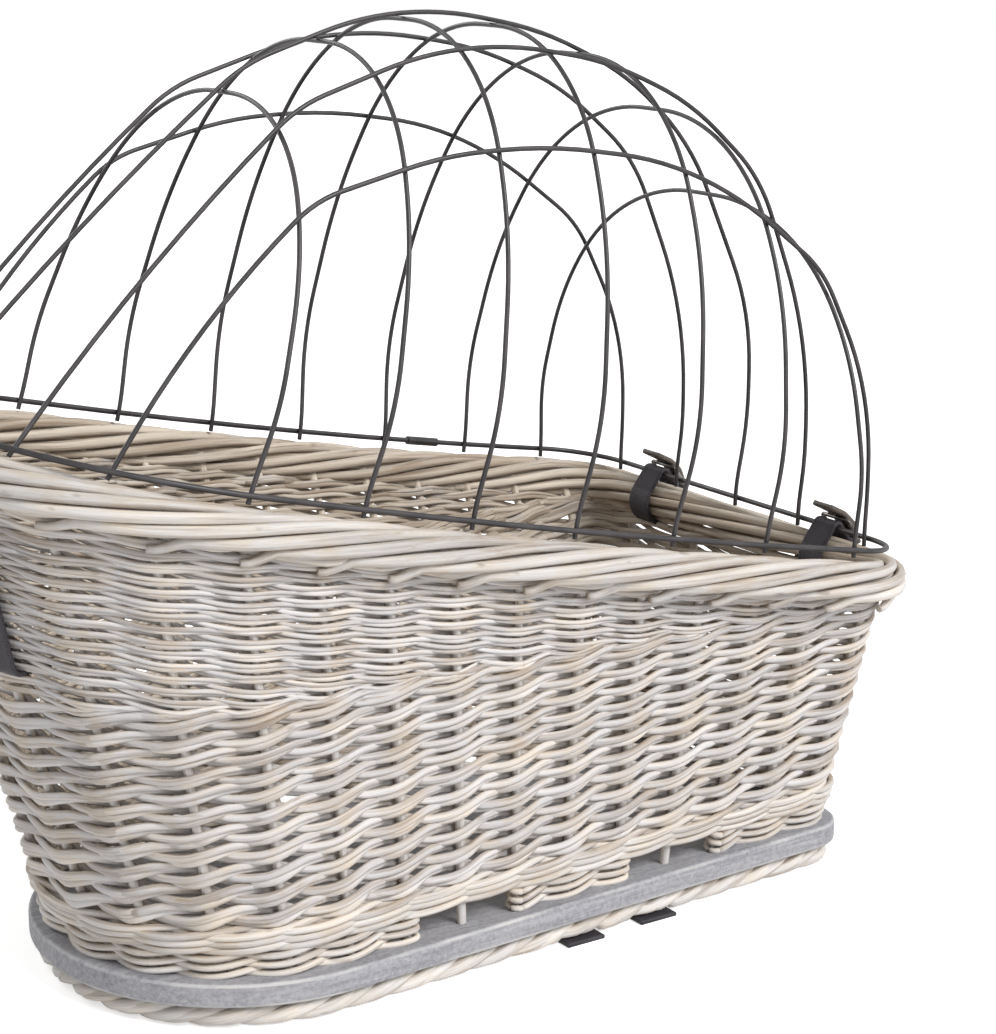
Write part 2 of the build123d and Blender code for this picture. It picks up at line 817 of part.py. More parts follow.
def build_nodes():
    places = stake_places()
    holes = stake_holes(places)
    nodes = {"base_plate": make_base_plate(holes), "foot_border": make_foot_border(),
             "stakes": make_stakes(places), "wale_band": make_wale(holes)}
    nodes.update(make_blocks(holes))

    seats, corners = ring_path()
    path = bent_path(seats, corners)
    nodes["guard_ring"] = wire_along(path, ring_wire_r)
    nodes["ring_sleeve"] = make_sleeve()
    rim_line = Pos(0, 0, -rim_drop) * closed_path(seats, corners)
    nodes["rim_border"] = wire_along(rim_line, rim_r)
    nodes["side_wall"] = make_wall(nodes["rim_border"], closure_slots())

    arches = [Arch(index) for index in range(len(arch_heights))]
    for index, arch in enumerate(arches):
        nodes[f"cross_arch_{index + 1}"] = make_arch(arch)
    nodes["runner_middle"] = make_runner(Runner(0, 1), arches)
    for name, side in sides.items():
        for index in (1, 2):
            place = "inner" if index == 1 else "outer"
            nodes[f"runner_{place}_{name}"] = make_runner(Runner(index, side), arches)

    hinge_buckle = hinge_buckle_location()
    closure_buckle = closure_buckle_location()
    for name, side in sides.items():
        hinge = Pos(hinge_x, side * hinge_strap_y, ring_low_z)
        nodes[f"hinge_strap_{name}"] = hinge * make_hinge_strap()
        nodes[f"hinge_buckle_{name}"] = hinge * hinge_buckle * make_buckle_frame()
        nodes[f"hinge_prong_{name}"] = hinge * hinge_buckle * make_prong()
        closure = ring_top_place(side)
        nodes[f"closure_strap_{name}"] = closure * make_closure_strap()
        nodes[f"closure_buckle_{name}"] = closure * closure_buckle * make_buckle_frame()
        nodes[f"closure_prong_{name}"] = closure * closure_buckle * make_prong()
        nodes[f"guard_tab_{name}"] = closure * make_tab()

    for index, x in enumerate(rack_strap_xs):
        nodes[f"rack_strap_{index + 1}"] = make_rack_strap(x)
    return nodes


def main():
    os.makedirs("parts", exist_ok=True)
    for name, shape in build_nodes().items():
        export_step(shape, f"parts/{name}.step")


if __name__ == "__main__":
    main()
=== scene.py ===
"""Dresses the dog's bicycle basket: willow weave, wooden base, wire guard and black webbing.

Lengths are in millimetres, in the frame of the part, and become metres when a mesh is made.
Places round the basket are counted in stakes: 0 is the middle of the tall end, a stake stands
at every half, 16 is the middle of the low end, and the near side comes before the far side.
"""
import math

import bpy
import numpy as np
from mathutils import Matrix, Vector


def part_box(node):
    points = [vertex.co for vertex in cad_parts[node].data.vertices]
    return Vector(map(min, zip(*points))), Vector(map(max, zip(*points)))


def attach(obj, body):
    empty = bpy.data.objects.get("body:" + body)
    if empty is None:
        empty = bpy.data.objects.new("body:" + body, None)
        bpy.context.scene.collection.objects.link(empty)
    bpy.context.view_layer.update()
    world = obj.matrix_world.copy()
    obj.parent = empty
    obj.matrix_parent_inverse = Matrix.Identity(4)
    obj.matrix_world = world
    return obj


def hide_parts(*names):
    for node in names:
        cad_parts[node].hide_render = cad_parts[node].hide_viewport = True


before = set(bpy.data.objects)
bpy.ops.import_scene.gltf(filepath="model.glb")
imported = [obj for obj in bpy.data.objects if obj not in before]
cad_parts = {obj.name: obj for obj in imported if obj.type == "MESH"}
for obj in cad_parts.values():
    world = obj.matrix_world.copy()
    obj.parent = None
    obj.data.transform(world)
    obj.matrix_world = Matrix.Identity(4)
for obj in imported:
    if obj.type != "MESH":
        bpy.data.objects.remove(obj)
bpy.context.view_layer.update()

MM = 0.001
rng = np.random.default_rng(11)


def node_span(node, axis):
    """Lowest and highest place of a CAD node along one axis, in millimetres."""
    lowest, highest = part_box(node)
    return lowest[axis] / MM, highest[axis] / MM


# Outlines seen from above: reach of the tall and low end, half widths and corner radii there
plate_outline = (195, 268, 120, 98, 110, 25)
ring_outline = (258.5, 258.5, 125.5, 152, 128, 35)

# Heights read from the frame
plate_bottom, plate_top = node_span("base_plate", 2)
block_top = node_span("base_weave_near", 2)[1]
wale_top = node_span("wale_band", 2)[1]
foot_height = node_span("foot_border", 2)[1]

# Ring wire over the rim
ring_half_length = 258.5
ring_tall_z = 314
ring_mid_z = 251.5
ring_low_z = 201.5
ring_wire_r = 1.5
rim_r = 12
rim_drop = 17.75

# Willow wall
wall_middle = 14
wall_top_inset = 4
stakes_round = 32
stakes_half = 16
stake_pitch = 35.1
stake_r = 2.5
first_stake_length = 25.2
tall_fan = 0.66
tall_fan_reach = 2.4
low_fan = 1.08
low_fan_reach = 1.74


def ring_height(x):
    share = x / ring_half_length
    bow = (ring_low_z + ring_tall_z) / 2 - ring_mid_z
    return ring_mid_z + (ring_low_z - ring_tall_z) / 2 * share + bow * share**2


def unit(vectors):
    return vectors / np.linalg.norm(vectors, axis=-1, keepdims=True)


def gaps(points):
    """Distance from each point to the next one."""
    return np.linalg.norm(np.diff(points, axis=0), axis=1)


def distances(points):
    """Distance walked along the points to each of them."""
    return np.concatenate([[0], np.cumsum(gaps(points))])


# Outlines and the wall between them


class Outline:
    """Near half of a rounded trapezoid, walked from the tall end's middle to the low end's."""

    step = 0.5
    fewest_on_run = 2
    fewest_on_bend = 8
    same_point = 1e-6

    def __init__(self, sizes, grow):
        tall, low, half_tall, half_low, tall_r, low_r = sizes
        start, end = np.array([-tall, 0.0]), np.array([low, 0.0])
        corners = [np.array([-tall, -half_tall], float), np.array([low, -half_low], float)]
        points = []
        normals = []
        here = start
        for corner, radius, ahead in zip(corners, (tall_r, low_r), (corners[1], end)):
            inward = (corner - here) / np.linalg.norm(corner - here)
            outward = (ahead - corner) / np.linalg.norm(ahead - corner)
            turn = math.acos(float(inward @ outward))
            reach = radius * math.tan(turn / 2)
            self.run(points, normals, here, corner - inward * reach)
            self.bend(points, normals, corner - inward * reach, inward, turn, radius)
            here = corner + outward * reach
        self.run(points, normals, here, end)
        points = np.array(points) + grow * np.array(normals)
        keep = np.concatenate([[True], gaps(points) > self.same_point])
        self.points = points[keep]
        self.normals = np.array(normals)[keep]
        self.walked = distances(self.points)
        self.length = self.walked[-1]

    def run(self, points, normals, start, end):
        count = max(self.fewest_on_run, int(np.linalg.norm(end - start) / self.step))
        along = (end - start) / np.linalg.norm(end - start)
        for share in np.linspace(0, 1, count):
            points.append(start + (end - start) * share)
            normals.append(np.array([along[1], -along[0]]))

    def bend(self, points, normals, start, along, turn, radius):
        left = np.array([-along[1], along[0]])
        count = max(self.fewest_on_bend, int(radius * turn / self.step))
        for angle in np.linspace(0, turn, count):
            out = along * math.sin(angle) - left * math.cos(angle)
            points.append(start + left * radius + out * radius)
            normals.append(out)

    def at(self, length):
        """Plan point and outward normal at lengths walked along the half."""
        point = [np.interp(length, self.walked, self.points[:, i]) for i in (0, 1)]
        normal = [np.interp(length, self.walked, self.normals[:, i]) for i in (0, 1)]
        return np.stack(point, -1), unit(np.stack(normal, -1))


class Wall:
    """Middle surface of the woven wall, addressed by stakes round and by height."""

    steps_per_stake = 100

    def __init__(self):
        self.foot = Outline(plate_outline, -wall_middle)
        self.top = Outline(ring_outline, -wall_top_inset)
        self.rim = Outline(ring_outline, 0)
        self.stakes = np.concatenate([[0], np.arange(0.5, stakes_half, 1), [stakes_half]])
        inner = first_stake_length + stake_pitch * np.arange(stakes_half)
        self.foot_lengths = np.concatenate([[0], inner, [self.foot.length]])
        self.fine = np.linspace(0, stakes_half, stakes_half * self.steps_per_stake + 1)
        tall_part = tall_fan * np.exp(-(self.fine / tall_fan_reach)**2)
        low_part = low_fan * np.exp(-((stakes_half - self.fine) / low_fan_reach)**2)
        gaps = 1 + tall_part + low_part
        summed = np.concatenate([[0], np.cumsum((gaps[1:] + gaps[:-1]) / 2)])
        self.top_share = summed / summed[-1]

    def fold(self, stake):
        """Place on the near half, and +1 on the near side or -1 on the far side."""
        around = np.mod(stake, stakes_round)
        far = around > stakes_half
        return np.where(far, stakes_round - around, around), np.where(far, -1.0, 1.0)

    def ends(self, stake):
        """Foot and top of the wall at a stake place, and the outward normals there."""
        half, side = self.fold(stake)
        foot, foot_normal = self.foot.at(np.interp(half, self.stakes, self.foot_lengths))
        share = np.interp(half, self.fine, self.top_share)
        top, top_normal = self.top.at(share * self.top.length)
        for plan in (foot, foot_normal, top, top_normal):
            plan[..., 1] *= side
        return foot, foot_normal, top, top_normal

    def top_height(self, stake):
        return ring_height(self.ends(stake)[2][..., 0]) - rim_drop

    def place(self, stake, height):
        """Points on the surface and the directions square to it."""
        foot, foot_normal, top, top_normal = self.ends(stake)
        top_z = ring_height(top[..., 0]) - rim_drop
        share = np.clip((height - plate_top) / (top_z - plate_top), 0, None)[..., None]
        plan = foot + (top - foot) * share
        flat = unit(foot_normal * (1 - share) + top_normal * share)
        point = np.concatenate([plan, height[..., None]], -1)
        out = np.concatenate([flat, np.zeros_like(height)[..., None]], -1)
        lean = unit(np.concatenate([top - foot, (top_z - plate_top)[..., None]], -1))
        return point, unit(out - (out * lean).sum(-1, keepdims=True) * lean)

    def rim_place(self, stake):
        """Centre line of the rim and its outward normal."""
        half, side = self.fold(stake)
        share = np.interp(half, self.fine, self.top_share)
        plan, normal = self.rim.at(share * self.rim.length)
        plan[..., 1] *= side
        normal[..., 1] *= side
        height = ring_height(plan[..., 0]) - rim_drop
        zero = np.zeros_like(height)
        return (np.concatenate([plan, height[..., None]], -1),
                np.concatenate([normal, zero[..., None]], -1))


wall = Wall()


# Rods

samples_per_stake = 10
stake_sample = 1 / samples_per_stake

# Each rod shows a part of the grain of its own, up to this far away
grain_shift = 5000


class Rods:
    """Bent rods that become one mesh, with what their material reads at each point."""

    def __init__(self, sides=7):
        self.sides = sides
        self.points = []
        self.faces = []
        self.rod = []
        self.tint = []
        self.wash_and_shade = []
        self.count = 0

    def add(self, points, radius, out, tint, flat=1.0, wear=0.0):
        """One rod along points; out leads away from the basket, wear bares its outer side."""
        count = len(points)
        sides = self.sides
        radius = np.broadcast_to(np.asarray(radius, float), (count,))
        along = unit(np.gradient(points, axis=0))
        across = unit(out - (out * along).sum(-1, keepdims=True) * along)
        up = np.cross(along, across)
        angle = np.arange(sides) * 2 * math.pi / sides
        spoke_a = np.cos(angle)[None, :, None] * across[:, None, :]
        spoke_b = np.sin(angle)[None, :, None] * up[:, None, :]
        shell = points[:, None, :] + radius[:, None, None] * (spoke_a * flat + spoke_b)
        walked = distances(points)
        shift = rng.uniform(0, grain_shift)
        local = np.stack([
            np.broadcast_to((walked + shift)[:, None], (count, sides)),
            radius[:, None] * np.cos(angle)[None, :] + shift,
            radius[:, None] * np.sin(angle)[None, :] + shift], -1)
        self.points.append(shell.reshape(-1, 3))
        self.rod.append(local.reshape(-1, 3))
        self.tint.append(np.full(count * sides, tint))
        # Share of each point that faces outwards: it sets the whitewash cover and, in the
        # willow material, the painted shade on the inner side
        outward = ((spoke_a + spoke_b) * out[:, None, :]).sum(-1)
        worn = np.broadcast_to(np.asarray(wear, float), (count,))[:, None]
        self.wash_and_shade.append((0.5 + 0.5 * outward - worn * np.clip(outward, 0, 1)).reshape(-1))
        self.add_faces(count, sides)

    def add_faces(self, count, sides):
        ring = np.arange(sides)
        ahead = (ring + 1) % sides
        rows = self.count + np.arange(count - 1)[:, None] * sides
        quads = np.stack([rows + ring, rows + ahead, rows + sides + ahead,
                          rows + sides + ring], -1).reshape(-1, 4)
        self.faces.extend(quads.tolist())
        last = self.count + (count - 1) * sides
        self.faces.append((self.count + ring[::-1]).tolist())
        self.faces.append((last + ring).tolist())
        self.count += count * sides

    def build(self, name, material, body, nodes):
        points = np.concatenate(self.points) * MM
        piece = make_piece(name, points, self.faces, material, body, nodes)
        add_attribute(piece, "rod", np.concatenate(self.rod) * MM)
        add_attribute(piece, "tint", np.concatenate(self.tint))
        add_attribute(piece, "wash_and_shade", np.concatenate(self.wash_and_shade))
        return piece


def make_piece(name, points, faces, material, body, nodes=()):
    mesh = bpy.data.meshes.new(name)
    mesh.from_pydata(points.tolist(), [], faces)
    mesh.polygons.foreach_set("use_smooth", [True] * len(mesh.polygons))
    mesh.update()
    piece = bpy.data.objects.new(name, mesh)
    bpy.context.scene.collection.objects.link(piece)
    piece.data.materials.append(material)
    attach(piece, body)
    if nodes:
        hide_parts(*nodes)
    return piece


def add_attribute(piece, name, values):
    kind, field = ("FLOAT_VECTOR", "vector") if values.ndim == 2 else ("FLOAT", "value")
    layer = piece.data.attributes.new(name, kind, "POINT")
    layer.data.foreach_set(field, values.astype(np.float32).reshape(-1))


def wander(places, step, size):
    """Smooth random drift along places, of about the given size."""
    knots = np.arange(places[0] - step, places[-1] + 2 * step, step)
    values = rng.normal(0, size, len(knots))
    at = (places - knots[0]) / step
    index = np.clip(at.astype(int), 0, len(knots) - 2)
    share = smooth(at - index)
    return values[index] * (1 - share) + values[index + 1] * share


def smooth(share):
    return share * share * (3 - 2 * share)


def ease(share):
    return smooth(np.clip(share, 0, 1))


# Materials


def linear(red, green, blue):
    """Display colour, 0 to 255, as the linear colour that a shader takes."""
    channels = []
    for value in (red, green, blue):
        value /= 255
        channels.append(value / 12.92 if value <= 0.04045 else ((value + 0.055) / 1.055)**2.4)
    return (*channels, 1)


wall_bare = linear(222, 210, 194)
wall_wash = linear(211, 208, 208)
wall_brown = linear(186, 164, 140)
base_bare = linear(224, 212, 196)
base_wash = linear(213, 209, 206)
base_brown = linear(184, 163, 140)
stain_brown = linear(134, 114, 98)
knot_brown = linear(104, 82, 62)
plate_dark = linear(122, 122, 127)
plate_light = linear(170, 170, 175)
plate_cloud = linear(168, 166, 168)
plate_pore = linear(96, 96, 104)
plate_worn_and_highlight = linear(212, 210, 206)
coat_black = linear(33, 30, 32)
coat_rubbed = linear(62, 57, 59)
web_black = linear(30, 28, 32)
web_light = linear(62, 58, 64)
tip_black = linear(56, 48, 44)
tip_light = linear(104, 94, 86)
nickel_dark = linear(70, 66, 64)
nickel_light = linear(150, 144, 138)
yarn_pitch = 1.5
rib_pitch = 1.8


class Shader:
    """A few short calls for building a node material."""

    def __init__(self, name):
        self.material = bpy.data.materials.new(name)
        self.material.use_nodes = True
        self.tree = self.material.node_tree
        self.bsdf = self.tree.nodes["Principled BSDF"]

    def node(self, kind, inputs=None, **settings):
        made = self.tree.nodes.new(kind)
        for key, value in settings.items():
            setattr(made, key, value)
        for key, value in (inputs or {}).items():
            self.put(made.inputs[key], value)
        return made

    def put(self, socket, value):
        if isinstance(value, bpy.types.NodeSocket):
            self.tree.links.new(value, socket)
        else:
            socket.default_value = value

    def attribute(self, name):
        return self.node("ShaderNodeAttribute", attribute_name=name,
                         attribute_type="GEOMETRY").outputs

    def scaled(self, vector, scale):
        return self.node("ShaderNodeVectorMath", {0: vector, 1: scale},
                         operation="MULTIPLY").outputs[0]

    def noise(self, vector, scale=1.0, detail=2.0, roughness=0.5):
        made = self.node("ShaderNodeTexNoise", {"Vector": vector, "Scale": scale,
                                                "Detail": detail, "Roughness": roughness})
        return made.outputs["Fac"]

    def spread(self, value, low, high, to_low=0.0, to_high=1.0):
        made = self.node("ShaderNodeMapRange", {"Value": value, "From Min": low,
                                                "From Max": high, "To Min": to_low,
                                                "To Max": to_high})
        return made.outputs[0]

    def math(self, operation, first, second=0.0):
        return self.node("ShaderNodeMath", {0: first, 1: second},
                         operation=operation).outputs[0]

    def mix(self, factor, first, second, blend="MIX"):
        made = self.node("ShaderNodeMix", data_type="RGBA", blend_type=blend)
        self.put(made.inputs[0], factor)
        self.put(made.inputs[6], first)
        self.put(made.inputs[7], second)
        return made.outputs[2]

    def bump(self, height, strength, distance):
        made = self.node("ShaderNodeBump", {"Height": height, "Strength": strength,
                                            "Distance": distance * MM})
        self.tree.links.new(made.outputs[0], self.bsdf.inputs["Normal"])

    def finish(self, colour, roughness, specular=0.5, metallic=0.0):
        self.put(self.bsdf.inputs["Base Color"], colour)
        self.put(self.bsdf.inputs["Roughness"], roughness)
        self.bsdf.inputs["Specular IOR Level"].default_value = specular
        self.bsdf.inputs["Metallic"].default_value = metallic
        return self.material


def willow(name, bare, washed, brown, wash_low, wash_high, inner_shade):
    """Peeled willow under a worn whitewash: bare skin on the inner side of each rod, and
    painted shade that darkens that inner side.
    """
    shader = Shader(name)
    rod = shader.attribute("rod")["Vector"]
    tint = shader.attribute("tint")["Fac"]
    wash_and_shade = shader.attribute("wash_and_shade")["Fac"]
    place = shader.node("ShaderNodeTexCoord").outputs["Object"]
    streak = shader.noise(shader.scaled(rod, (18, 700, 700)), 1.0, 3.0)
    fibre = shader.noise(shader.scaled(rod, (45, 2600, 2600)), 1.0, 2.0)
    patch = shader.noise(shader.scaled(place, (38, 38, 60)), 1.0, 3.0, 0.6)
    fine = shader.noise(shader.scaled(rod, (160, 900, 900)), 1.0, 3.0, 0.65)
    cover = shader.math("ADD", wash_and_shade, shader.spread(patch, 0.3, 0.7, -0.4, 0.4))
    cover = shader.math("ADD", cover, shader.spread(fine, 0.3, 0.7, -0.3, 0.3))
    cover = shader.spread(cover, wash_low, wash_high)
    skin = shader.mix(shader.spread(tint, 0.0, 1.0), brown, bare)
    skin = shader.mix(shader.spread(streak, 0.35, 0.7), skin, bare)
    colour = shader.mix(cover, skin, washed)
    stain = shader.noise(shader.scaled(rod, (11, 330, 330)), 1.0, 3.0, 0.6)
    stain = shader.math("MULTIPLY", shader.spread(stain, 0.5, 0.7),
                        shader.spread(wash_and_shade, 0.3, 1.0, 0.8, 0.5))
    colour = shader.mix(stain, colour, stain_brown)
    # Painted shade: the side of each rod that faces into the basket and into the gaps of the
    # weave is darkened down to inner_shade, so the gaps and the inside read dark. The tint
    # part is a real tone that differs from rod to rod.
    shade = shader.math("MULTIPLY", shader.spread(tint, 0.0, 1.0, 0.86, 1.06),
                        shader.spread(wash_and_shade, 0.1, 0.6, inner_shade, 1.0))
    grain = shader.spread(fibre, 0.3, 0.75, 0.84, 1.05)
    colour = shader.mix(1.0, colour, shader.math("MULTIPLY", shade, grain), "MULTIPLY")
    knots = shader.spread(shader.noise(shader.scaled(rod, (60, 160, 160)), 1.0, 1.0),
                          0.70, 0.78)
    colour = shader.mix(shader.math("MULTIPLY", knots, 0.45), colour, knot_brown)
    height = shader.math("ADD", shader.math("MULTIPLY", streak, 0.6), fibre)
    shader.bump(height, 0.5, 0.35)
    return shader.finish(colour, shader.spread(fibre, 0.3, 0.7, 0.6, 0.8), 0.3)


def washed_wood():
    """Grey-washed plank: grain along the basket, its rounded edges pale from wear and from a
    painted highlight.
    """
    shader = Shader("plate_wood")
    place = shader.node("ShaderNodeTexCoord").outputs["Object"]
    bend = shader.noise(shader.scaled(place, (5, 9, 9)), 1.0, 2.0)
    shift = shader.node("ShaderNodeCombineXYZ", {"Y": shader.math("MULTIPLY", bend, 0.03)})
    warped = shader.node("ShaderNodeVectorMath", {0: place, 1: shift.outputs[0]},
                         operation="ADD").outputs[0]
    grain = shader.noise(shader.scaled(warped, (9, 260, 420)), 1.0, 4.0, 0.62)
    pores = shader.noise(shader.scaled(warped, (60, 1500, 1700)), 1.0, 2.0)
    cloud = shader.noise(shader.scaled(place, (22, 30, 60)), 1.0, 3.0)
    speckle = shader.noise(shader.scaled(place, (420, 420, 420)), 1.0, 3.0, 0.7)
    grain = shader.math("ADD", shader.math("MULTIPLY", grain, 0.5),
                        shader.math("MULTIPLY", speckle, 0.5))
    colour = shader.mix(shader.spread(grain, 0.36, 0.64), plate_dark, plate_light)
    colour = shader.mix(shader.spread(cloud, 0.35, 0.75, 0.0, 0.45), colour, plate_cloud)
    colour = shader.mix(shader.spread(pores, 0.58, 0.75, 0.0, 0.4), colour, plate_pore)
    # Rounded edges, between flat and upright faces, are painted pale: partly worn paint,
    # partly a painted highlight
    normal = shader.node("ShaderNodeNewGeometry").outputs["Normal"]
    upright = shader.node("ShaderNodeSeparateXYZ", {0: normal}).outputs[2]
    tilt = shader.math("ABSOLUTE", upright)
    rounding = shader.math("MULTIPLY", tilt, shader.math("SUBTRACT", 1.0, tilt))
    worn = shader.math("MULTIPLY", shader.spread(rounding, 0.05, 0.2),
                       shader.spread(cloud, 0.35, 0.6, 0.05, 0.55))
    colour = shader.mix(worn, colour, plate_worn_and_highlight)
    shader.bump(shader.math("ADD", grain, shader.math("MULTIPLY", pores, 0.4)), 0.45, 0.4)
    return shader.finish(colour, shader.spread(grain, 0.3, 0.7, 0.62, 0.8), 0.3)


def coated_wire():
    """Black powder coat with a fine orange peel and slightly rubbed patches."""
    shader = Shader("wire")
    place = shader.node("ShaderNodeTexCoord").outputs["Object"]
    peel = shader.noise(shader.scaled(place, (900, 900, 900)), 1.0, 2.0)
    rub = shader.noise(shader.scaled(place, (55, 55, 55)), 1.0, 3.0)
    colour = shader.mix(shader.spread(rub, 0.4, 0.75), coat_black, coat_rubbed)
    shader.bump(peel, 0.25, 0.12)
    return shader.finish(colour, shader.spread(rub, 0.3, 0.7, 0.38, 0.55), 0.5)


def nylon(name, base, light):
    """Woven webbing: ribs along the strap crossed by its yarns."""
    shader = Shader(name)
    web = shader.attribute("rod")["Vector"]
    split = shader.node("ShaderNodeSeparateXYZ", {0: web}).outputs
    along = shader.math("MULTIPLY", split[0], 2 * math.pi / (yarn_pitch * MM))
    across = shader.math("MULTIPLY", split[1], 2 * math.pi / (rib_pitch * MM))
    yarns = shader.math("MULTIPLY", shader.math("SINE", along), shader.math("SINE", across))
    fuzz = shader.noise(shader.scaled(web, (700, 700, 700)), 1.0, 2.0)
    colour = shader.mix(shader.spread(yarns, -1.0, 1.0), base, light)
    colour = shader.mix(shader.spread(fuzz, 0.35, 0.75, 0.0, 0.5), colour, light)
    shader.bump(shader.math("ADD", yarns, shader.math("MULTIPLY", fuzz, 0.6)), 0.7, 0.35)
    return shader.finish(colour, 0.62, 0.35)


def buckle_metal():
    """Dark nickel with brushed marks and small bright rubs."""
    shader = Shader("buckle_metal")
    place = shader.node("ShaderNodeTexCoord").outputs["Object"]
    brush = shader.noise(shader.scaled(place, (2200, 300, 2200)), 1.0, 2.0)
    rub = shader.noise(shader.scaled(place, (180, 180, 180)), 1.0, 2.0)
    colour = shader.mix(shader.spread(rub, 0.4, 0.7), nickel_dark, nickel_light)
    shader.bump(brush, 0.15, 0.1)
    return shader.finish(colour, shader.spread(brush, 0.3, 0.7, 0.26, 0.42), 0.5, 0.9)


# inner_shade sets the painted shade on the inner side of the rods
willow_wall = willow("willow_grey", wall_bare, wall_wash, wall_brown,
                     wash_low=0.15, wash_high=0.95, inner_shade=0.78)
willow_base = willow("willow_light", base_bare, base_wash, base_brown,
                     wash_low=0.28, wash_high=1.15, inner_shade=0.9)
wood = washed_wood()
wire = coated_wire()
black_web = nylon("webbing", web_black, web_light)
sealed_web = nylon("webbing_tip", tip_black, tip_light)
metal = buckle_metal()


# Woven wall: pairing, two pairs of thin rods that swap sides of the wall at every stake

rod_stakes = 10
rod_stakes_spread = 2
rod_stakes_most = 14
rod_stakes_fewest = 2
first_behind = 1.5
tuck = 0.4
tuck_depth = 1.4
tip_share = 0.75
row_margin = 2
row_drift = 0.35
stake_drift = 0.3
rod_drift = 0.25
strand_spread = 0.05
girth_drift = 0.03
strand_share = 0.39
strand_flat = 0.8
bulge_wear = 0.35
packing_share = 1.0
spread_share = 0.42
crossing_depth_share = 0.25
climb_share = 0.3
rise_sharpness = 0.7
swing_power = 1.6
wall_gap = 0.1
first_row_gap = 6.2
bottom_pitch = 12.4
top_pitch = 9.4
lower_rows = 11
packing_pitch = 6.4
packing_gap = 0.6
packing_rest = 5.8
packing_end = 14.5
packing_steps_per_stake = 20


def broken(start, end, phase):
    """Places where a strand's rods meet: stakes that the strand passes behind."""
    stops = [start]
    spread = rod_stakes_spread
    while stops[-1] < end - rod_stakes_most:
        length = rod_stakes + 2 * int(rng.integers(-spread, spread + 1))
        ahead = stops[-1] + length
        behind = math.floor((ahead - first_behind - phase) / 2) * 2 + first_behind + phase
        if behind >= end - rod_stakes_fewest:
            break
        stops.append(behind)
    return stops + [end]


def twined_row(rods, height_at, pitch_at, start, end, share=1.0):
    """A row of pairing between two places; height_at and pitch_at take stake places."""
    level = wander(np.array([start - row_margin, end + row_margin]), 1.0, row_drift)
    knots = np.arange(start - row_margin, end + row_margin + 1)
    drift = rng.normal(0, stake_drift, len(knots))
    for phase in (0, 1):
        for strand in (-1, 1):
            stops = broken(start, end, phase)
            for first, last in zip(stops[:-1], stops[1:]):
                place_strand(rods, height_at, pitch_at, first, last, phase, strand,
                             knots, drift, level[0], share)


def place_strand(rods, height_at, pitch_at, first, last, phase, strand, knots, drift,
                 level, share):
    """One rod of a strand: outside every second stake, with both its ends tucked inside."""
    stake = np.arange(first - tuck, last + tuck, stake_sample)
    pitch = pitch_at(stake)
    size = rng.normal(share, strand_spread)
    diameter = pitch * strand_share * size
    turn = math.pi * (stake - 0.5 - phase)
    front = np.cos(turn)
    rise = np.tanh(rise_sharpness * np.sin(turn)) / math.tanh(rise_sharpness)
    swing = stake_r + diameter * strand_flat * 0.5 + wall_gap
    depth = swing * np.sign(front) * np.abs(front)**swing_power
    depth = depth + strand * crossing_depth_share * diameter * rise**2
    lift = climb_share * pitch * rise + strand * spread_share * diameter
    lift = lift + wander(stake, 1.0, rod_drift) + np.interp(stake, knots, drift) + level
    ends = np.minimum(stake - stake[0], stake[-1] - stake) / tuck
    depth = depth - tuck_depth * (1 - ease(ends))
    point, out = wall.place(stake, height_at(stake))
    up = unit(np.cross(out, np.gradient(point, axis=0)))
    up *= np.sign(up[:, 2:3])
    centre = point + out * depth[:, None] + up * lift[:, None]
    taper = tip_share + (1 - tip_share) * ease(ends)
    radius = diameter / 2 * taper * (1 + wander(stake, 2.0, girth_drift))
    rods.add(centre, radius, out, rng.uniform(0, 1), strand_flat,
             bulge_wear * np.clip(front, 0, 1)**2)


def lower_row_heights():
    heights = [wale_top + first_row_gap]
    for index in range(lower_rows - 1):
        share = index / (lower_rows - 2)
        heights.append(heights[-1] + bottom_pitch + (top_pitch - bottom_pitch) * share)
    return heights


def make_wall():
    rods = Rods()
    heights = lower_row_heights()
    pitches = np.gradient(np.array(heights))
    for height, pitch in zip(heights, pitches):
        twined_row(rods, lambda s, h=height: np.full_like(s, h),
                   lambda s, p=pitch: np.full_like(s, p), first_behind,
                   stakes_round + first_behind)
    rest = heights[-1] + packing_rest
    places = np.linspace(0, stakes_half, stakes_half * packing_steps_per_stake + 1)
    tops = wall.top_height(places) - rim_r - packing_gap
    row = 0
    while True:
        reach = places[tops - row * packing_pitch > rest]
        if len(reach) < packing_steps_per_stake:
            break
        end = math.ceil(reach[-1]) + 0.5
        twined_row(rods,
                   lambda s, r=row: np.maximum(wall.top_height(s) - rim_r - packing_gap
                                               - r * packing_pitch, rest),
                   lambda s: np.full_like(s, packing_pitch), -end,
                   min(end, packing_end), packing_share)
        row += 1
    return rods.build("willow_wall", willow_wall, "basket", ["side_wall"])


stake_wash = 0.5
stake_spread = 0.04
stake_samples = 14


def make_stakes():
    rods = Rods()
    for index in range(stakes_round):
        stake = index + 0.5
        foot = plate_bottom
        top = float(wall.top_height(np.array([stake]))[0])
        heights = np.concatenate([[foot, (foot + plate_top) / 2],
                                  np.linspace(plate_top, top, stake_samples)])
        point, out = wall.place(np.full_like(heights, stake), heights)
        rods.add(point, stake_r * rng.normal(1, stake_spread), out, rng.uniform(0.6, 1),
                 wear=-stake_wash)
    return rods.build("willow_stakes", willow_base, "basket", ["stakes"])


# Wale and the lower blocks

wale_rods = 3
wale_rod_r = 2.1
wale_swing = 4.2
wale_offset = 1.9
wale_climb = 1.1
wale_level_shares = (0.14, 0.5, 0.86)
wale_seam = 24
wale_overlap = 0.8
wale_drift = 0.3
wale_girth_drift = 0.05


